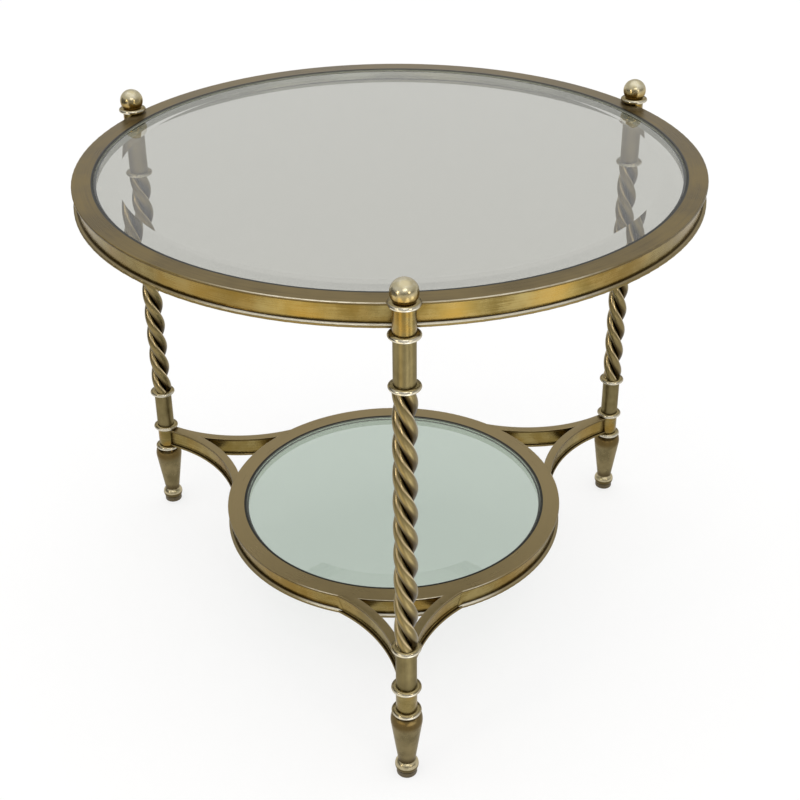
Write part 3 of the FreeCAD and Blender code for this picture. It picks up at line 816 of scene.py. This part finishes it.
# shelf arms: I-section with rounded strips, from the leg's block to the shelf ring
armLook = {
    "width": 0.0112,
    "recess": 0.0036,
    "depth": 0.0265,
    "topStrip": 0.0030,
    "lowStrip": 0.0035,
    "stripMargin": 0.0002,
    "edgeRound": 0.0009,
    "cornerFill": 0.0011,
    "arcPoints": 6,
    "legOffset": 0.0068,
    "straight": 0.0212,
    "straightRows": 0.12,
    "spreadShare": 0.4961,
    "blockRadius": 0.0116,
    "webBite": 0.0003,
    "rows": 56,
    "brushRepeats": 10,
    "sharpAngle": 40.0,
}


def armSection(look):
    # closed outline (distance from the near edge, height) anticlockwise; every corner is a quarter arc of a
    # few points, outer corners with the edge's radius and inner ones with the solder's
    w, d, k = look["width"], look["depth"], look["recess"]
    low, high = look["lowStrip"], look["depth"] - look["topStrip"]
    corners = np.array([
        (0, 0), (w, 0), (w, low), (w - k, low), (w - k, high), (w, high),
        (w, d), (0, d), (0, high), (k, high), (k, low), (0, low),
    ])
    before = corners - np.roll(corners, 1, axis=0)
    after = np.roll(corners, -1, axis=0) - corners
    before /= np.linalg.norm(before, axis=1, keepdims=True)
    after /= np.linalg.norm(after, axis=1, keepdims=True)
    turns = before[:, 0] * after[:, 1] - before[:, 1] * after[:, 0]
    radii = np.where(turns > 0, look["edgeRound"], look["cornerFill"])[:, None, None]
    # the arc's point at angle a: corner - before * r * (1 - sin a) + after * r * (1 - cos a)
    angles = np.linspace(0, np.pi / 2, look["arcPoints"])[None, :, None]
    arcs = corners[:, None] - before[:, None] * radii * (1 - np.sin(angles)) \
        + after[:, None] * radii * (1 - np.cos(angles))
    outline = arcs.reshape(-1, 2)
    # which finish the face from this point to the next has: 0 top strip, 1 web, 2 lower strip
    middle = (outline[:, 1] + np.roll(outline[:, 1], -1)) / 2
    onLow = middle < low + look["stripMargin"]
    finish = np.where(middle > high - look["stripMargin"], 0, np.where(onLow, 2, 1))
    return outline, finish


def armSurface(look, mirrored):
    # P(section point, s): from the block's face straight along the leg's plane, then round the bend's centre
    # to the ring; each line of the section ends where it meets the ring's own face
    outline, finish = armSection(look)
    near, height = outline[:, 0][:, None], outline[:, 1][:, None]
    ring = shelfRadius - look["edgeRound"]
    landY = (legCircle - shelfRadius) * look["spreadShare"]
    landX = np.sqrt(shelfRadius ** 2 - landY ** 2) - legCircle
    run, rise = -landX - look["straight"], landY - look["legOffset"]
    bend = (run ** 2 + rise ** 2) / (2 * rise)
    centre = np.array([-look["straight"], look["legOffset"] + bend])
    reach = np.hypot(centre[0] + legCircle, centre[1])
    radius = bend + near
    onWeb = (height > look["lowStrip"]) & (height < look["depth"] - look["topStrip"])
    stop = np.where(onWeb, shelfRadius - bandRecess - look["webBite"], ring)
    towards = np.arctan2(centre[0] + legCircle, centre[1])
    last = towards - np.arccos((reach ** 2 + radius ** 2 - stop ** 2) / (2 * reach * radius))
    offset = np.maximum(look["legOffset"] - near, 0)
    first = -np.sqrt(look["blockRadius"] ** 2 - offset ** 2)
    rows = np.linspace(0, 1, look["rows"])[None, :]
    share = look["straightRows"]
    straight = np.clip(rows / share, 0, 1)
    turned = np.clip((rows - share) / (1 - share), 0, 1) * last
    x = first + (-look["straight"] - first) * straight - radius * np.sin(turned)
    y = np.maximum(centre[1] - radius * np.cos(turned), 0)
    x, y, z = np.broadcast_arrays(x, y, shelfBase + height)
    points = np.stack([x, -y if mirrored else y, z], axis=-1)
    return points, finish


def armMesh(name, points, angle, finish, flip):
    # grid of section points by rows, closed round the section, capped at both ends
    count, rows = points.shape[:2]
    c, s = np.cos(np.radians(angle)), np.sin(np.radians(angle))
    x = (points[..., 0] + legCircle) * c - points[..., 1] * s
    y = (points[..., 0] + legCircle) * s + points[..., 1] * c
    flat = np.stack([x, y, points[..., 2]], axis=-1).reshape(-1, 3)
    i, j = np.meshgrid(np.arange(count), np.arange(rows - 1), indexing="ij")
    here, over = i * rows + j, ((i + 1) % count) * rows + j
    quads = np.stack([here, here + 1, over + 1, over], axis=-1).reshape(-1, 4)
    caps = [np.arange(count) * rows, (np.arange(count) * rows + rows - 1)[::-1]]
    if flip:
        quads = quads[:, ::-1]
        caps = [cap[::-1] for cap in caps]
    mesh = bpy.data.meshes.new(name)
    mesh.from_pydata(flat.tolist(), [], quads.tolist() + [cap.tolist() for cap in caps])
    slots = np.append(np.repeat(finish, rows - 1), [1, 1])
    mesh.polygons.foreach_set("material_index", slots.astype(np.int32))
    mesh.polygons.foreach_set("use_smooth", np.ones(len(mesh.polygons), bool))
    loops = np.empty(len(mesh.loops), np.int32)
    mesh.loops.foreach_get("vertex_index", loops)
    along = (loops % rows) / (rows - 1) * armLook["brushRepeats"]
    uv = np.stack([along, (loops // rows) / count], axis=-1)
    mesh.uv_layers.new(name="brushLine").data.foreach_set("uv", uv.astype(np.float32).ravel())
    for material in (armStripFinish, bandFinish, armLipFinish):
        mesh.materials.append(material)
    mesh.set_sharp_from_angle(angle=np.radians(armLook["sharpAngle"]))
    mesh.update()
    piece = bpy.data.objects.new(name, mesh)
    bpy.context.scene.collection.objects.link(piece)
    return piece


for side, angle in legAngles.items():
    for hand in ("right", "left"):
        points, finish = armSurface(armLook, hand == "left")
        arm = armMesh(f"{side}_arm_{hand}_rounded", points, angle, finish, hand == "left")
        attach(arm, "frame")
        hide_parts(f"{side}_arm_{hand}")
print("shelf arms made")


def newMaterial(name):
    material = bpy.data.materials.new(name)
    material.use_nodes = True
    return material


def addSheet(name, corners, faces, material):
    mesh = bpy.data.meshes.new(name)
    mesh.from_pydata(corners, [], faces)
    mesh.materials.append(material)
    sheet = bpy.data.objects.new(name, mesh)
    bpy.context.scene.collection.objects.link(sheet)
    return sheet


# pale floor, which looks brighter than the light that it throws back
floorLook = {"reach": 40.0, "grey": 0.86, "shownGlow": 0.71, "shownLit": 0.27}


def addFloor(look):
    material = newMaterial("paleFloor")
    tree = material.node_tree
    tree.nodes.clear()
    new, link = tree.nodes.new, tree.links.new
    plain, lit, glow = new("ShaderNodeBsdfDiffuse"), new("ShaderNodeBsdfDiffuse"), new("ShaderNodeEmission")
    plain.inputs["Color"].default_value = (*[look["grey"]] * 3, 1)
    lit.inputs["Color"].default_value = (*[look["shownLit"]] * 3, 1)
    glow.inputs["Strength"].default_value = look["shownGlow"]
    shown, choose = new("ShaderNodeAddShader"), new("ShaderNodeMixShader")
    path, output = new("ShaderNodeLightPath"), new("ShaderNodeOutputMaterial")
    direct, seen = new("ShaderNodeMath"), new("ShaderNodeMath")
    direct.operation = seen.operation = "MAXIMUM"
    link(path.outputs["Is Camera Ray"], direct.inputs[0])
    link(path.outputs["Is Glossy Ray"], direct.inputs[1])
    link(direct.outputs[0], seen.inputs[0])
    link(path.outputs["Is Transmission Ray"], seen.inputs[1])
    link(lit.outputs[0], shown.inputs[0])
    link(glow.outputs[0], shown.inputs[1])
    link(seen.outputs[0], choose.inputs[0])
    link(plain.outputs[0], choose.inputs[1])
    link(shown.outputs[0], choose.inputs[2])
    link(choose.outputs[0], output.inputs[0])
    r = look["reach"]
    floor = addSheet("floor", [(-r, -r, 0), (r, -r, 0), (r, r, 0), (-r, r, 0)], [(0, 1, 2, 3)], material)


# white wall far off, which lights nothing: low views see it past the table and through the panes
wallLook = {"radius": 25.0, "height": 30.0, "sides": 64}


def addBackdrop(look):
    material = newMaterial("whiteWall")
    shader = material.node_tree.nodes["Principled BSDF"]
    shader.inputs["Base Color"].default_value = (0, 0, 0, 1)
    shader.inputs["Specular IOR Level"].default_value = 0.0
    shader.inputs["Emission Color"].default_value = (1, 1, 1, 1)
    shader.inputs["Emission Strength"].default_value = 1.0
    count = look["sides"]
    angles = np.linspace(0, 2 * np.pi, count, endpoint=False)
    ring = look["radius"] * np.stack([np.cos(angles), np.sin(angles), 0 * angles], axis=-1)
    corners = np.concatenate([ring, ring + [0, 0, look["height"]]]).tolist()
    faces = [(i, (i + 1) % count, (i + 1) % count + count, i + count) for i in range(count)]
    wall = addSheet("backdrop", corners, faces, material)
    wall.visible_diffuse = wall.visible_glossy = wall.visible_shadow = False


# dark board at the left that only the metal sees, so that its round edges stay dark
boardLook = {"x": -1.7, "front": -1.6, "back": 0.9, "high": 0.9, "grey": 0.1}


def addBoard(look):
    material = newMaterial("darkBoard")
    shader = material.node_tree.nodes["Principled BSDF"]
    shader.inputs["Base Color"].default_value = (*[look["grey"]] * 3, 1)
    shader.inputs["Roughness"].default_value = 1.0
    x, front, back, high = (look[key] for key in ("x", "front", "back", "high"))
    corners = [(x, front, 0), (x, back, 0), (x, back, high), (x, front, high)]
    board = addSheet("leftBoard", corners, [(0, 1, 2, 3)], material)
    board.visible_camera = board.visible_diffuse = False
    board.visible_transmission = board.visible_shadow = False


# grey room: brightest overhead, pale low down behind the table and darker low down in front of it;
# brightness 1 is white, and the limits are parts of a unit direction
roomLook = {
    "zenith": 1.5,
    "middle": 0.88,
    "backLow": 0.85,
    "frontLow": 0.3,
    "frontToBack": (-0.7, 0.5),
    "lowToMiddle": (0.24, 0.42),
    "middleToZenith": (0.6, 0.97),
}


def addWorld(look):
    world = bpy.data.worlds.new("paleRoom")
    bpy.context.scene.world = world
    world.use_nodes = True
    tree = world.node_tree
    back = tree.nodes["Background"]
    coords, apart = tree.nodes.new("ShaderNodeTexCoord"), tree.nodes.new("ShaderNodeSeparateXYZ")
    tree.links.new(coords.outputs["Generated"], apart.inputs[0])

    def ramp(socket, limits, atLow, atHigh):
        node = tree.nodes.new("ShaderNodeMapRange")
        node.interpolation_type = "SMOOTHSTEP"
        tree.links.new(socket, node.inputs["Value"])
        node.inputs["From Min"].default_value, node.inputs["From Max"].default_value = limits
        node.inputs["To Max"].default_value = atHigh
        if isinstance(atLow, bpy.types.NodeSocket):
            tree.links.new(atLow, node.inputs["To Min"])
        else:
            node.inputs["To Min"].default_value = atLow
        return node.outputs["Result"]

    _, north, upward = apart.outputs
    low = ramp(north, look["frontToBack"], look["frontLow"], look["backLow"])
    level = ramp(upward, look["lowToMiddle"], low, look["middle"])
    level = ramp(upward, look["middleToZenith"], level, look["zenith"])
    tree.links.new(level, back.inputs["Color"])


# lamps, and reflector panels lying in front of the table that only its metal sees
lampLook = {
    "frontBox": {"place": (0.3, -3.0, 2.7), "aim": (0, 0, 0.4), "size": (1.8, 0.8), "brightness": 3.0,
                 "colour": (1, 0.99, 0.97)},
    "leftLamp": {"place": (-2.3, -2.1, 1.15), "aim": (0, 0, 0.35), "size": (0.35, 0.5), "brightness": 16.0,
                 "colour": (1, 0.88, 0.66)},
    "rightLamp": {"place": (1.7, -2.6, 1.3), "aim": (0, 0, 0.35), "size": (0.35, 0.5), "brightness": 11.0,
                  "colour": (1, 0.9, 0.7)},
}
panelLook = {
    "leftPanel": {"place": (-0.55, -1.02, 0.004), "turn": -40.0, "size": (0.42, 1.1), "brightness": 1.2,
                  "colour": (1, 0.82, 0.40)},
    "farLeftPanel": {"place": (-1.0, -0.3, 0.004), "turn": -60.0, "size": (0.5, 0.9), "brightness": 0.5,
                     "colour": (1, 0.96, 0.86)},
    "rightPanel": {"place": (0.33, -1.1, 0.004), "turn": 20.0, "size": (0.3, 1.2), "brightness": 1.85,
                   "colour": (1, 1, 1)},
    "farRightPanel": {"place": (1.05, -0.9, 0.004), "turn": 55.0, "size": (0.4, 0.9), "brightness": 1.6,
                      "colour": (1, 0.97, 0.88)},
}


def addArea(name, look, place):
    data = bpy.data.lights.new(name, "AREA")
    data.shape = "RECTANGLE"
    data.size, data.size_y = look["size"]
    data.energy = look["brightness"] * np.pi * data.size * data.size_y
    data.color = look["colour"]
    lamp = bpy.data.objects.new(name, data)
    bpy.context.scene.collection.objects.link(lamp)
    lamp.matrix_world = place
    lamp.visible_camera = False
    return lamp


def addLamp(name, look):
    towards = Vector(look["aim"]) - Vector(look["place"])
    facing = towards.to_track_quat("-Z", "Y").to_matrix().to_4x4()
    addArea(name, look, Matrix.Translation(look["place"]) @ facing)


def addPanel(name, look):
    turn = Matrix.Rotation(np.radians(look["turn"]), 4, "Z") @ Matrix.Rotation(np.pi, 4, "X")
    panel = addArea(name, look, Matrix.Translation(look["place"]) @ turn)
    panel.visible_diffuse = False
    panel.visible_transmission = False


addFloor(floorLook)
addBackdrop(wallLook)
addBoard(boardLook)
addWorld(roomLook)
for name, look in lampLook.items():
    addLamp(name, look)
for name, look in panelLook.items():
    addPanel(name, look)
bpy.context.scene.view_settings.view_transform = "Standard"
print("floor, room and lamps set")
